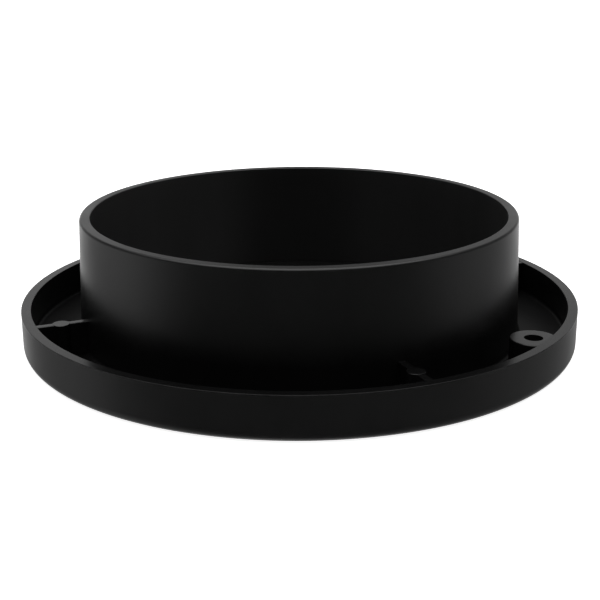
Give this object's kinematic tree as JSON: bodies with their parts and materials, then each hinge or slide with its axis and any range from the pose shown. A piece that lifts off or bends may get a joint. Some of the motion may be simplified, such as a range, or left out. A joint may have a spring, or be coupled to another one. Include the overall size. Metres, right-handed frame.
{
  "type": "duct outlet collar",
  "caption": "Round flanged plastic outlet collar with upturned rim, ribs and screw bosses, holding a sprung non-return shutter of two half-round flaps low in its bore.",
  "frame": {"origin": "centre of the flange plate's flat underside", "axes": "+Z along the bore axis, from the flange towards the open end of the collar; +X along the shutter's hinge pin"},
  "size_m": [0.128, 0.128, 0.03],
  "materials": {
    "black_plastic": "satin, fine moulded texture",
    "insert_plastic": "matte, moulded",
    "flap_plastic": "matte, moulded",
    "foam_rubber": "closed-cell foam",
    "seal_rubber": "matte rubber",
    "spring_steel": "drawn wire and ground pin"
  },
  "bodies": {
    "collar": {"outlet_collar": "black_plastic", "flange_gasket": "foam_rubber", "damper_ring": "insert_plastic", "hinge_pin": "spring_steel", "spring_left": "spring_steel", "spring_right": "spring_steel"},
    "front_flap": {"flap_front": "flap_plastic", "flap_seal_front": "seal_rubber"},
    "rear_flap": {"flap_rear": "flap_plastic", "flap_seal_rear": "seal_rubber"}
  },
  "joints": [
    {"name": "front_flap_hinge", "type": "hinge", "parent": "collar", "child": "front_flap", "pos_m": [0, 0, 0.005], "axis": [-1, 0, 0], "range_deg": [0, 80], "stiffness_Nm_per_rad": 0.0004, "springref_deg": -20.05, "deforming": ["spring_left", "spring_right"]},
    {"name": "rear_flap_hinge", "type": "hinge", "parent": "collar", "child": "rear_flap", "pos_m": [0, 0, 0.005], "axis": [1, 0, 0], "range_deg": [0, 80], "stiffness_Nm_per_rad": 0.0004, "springref_deg": -20.05, "deforming": ["spring_left", "spring_right"]}
  ]
}
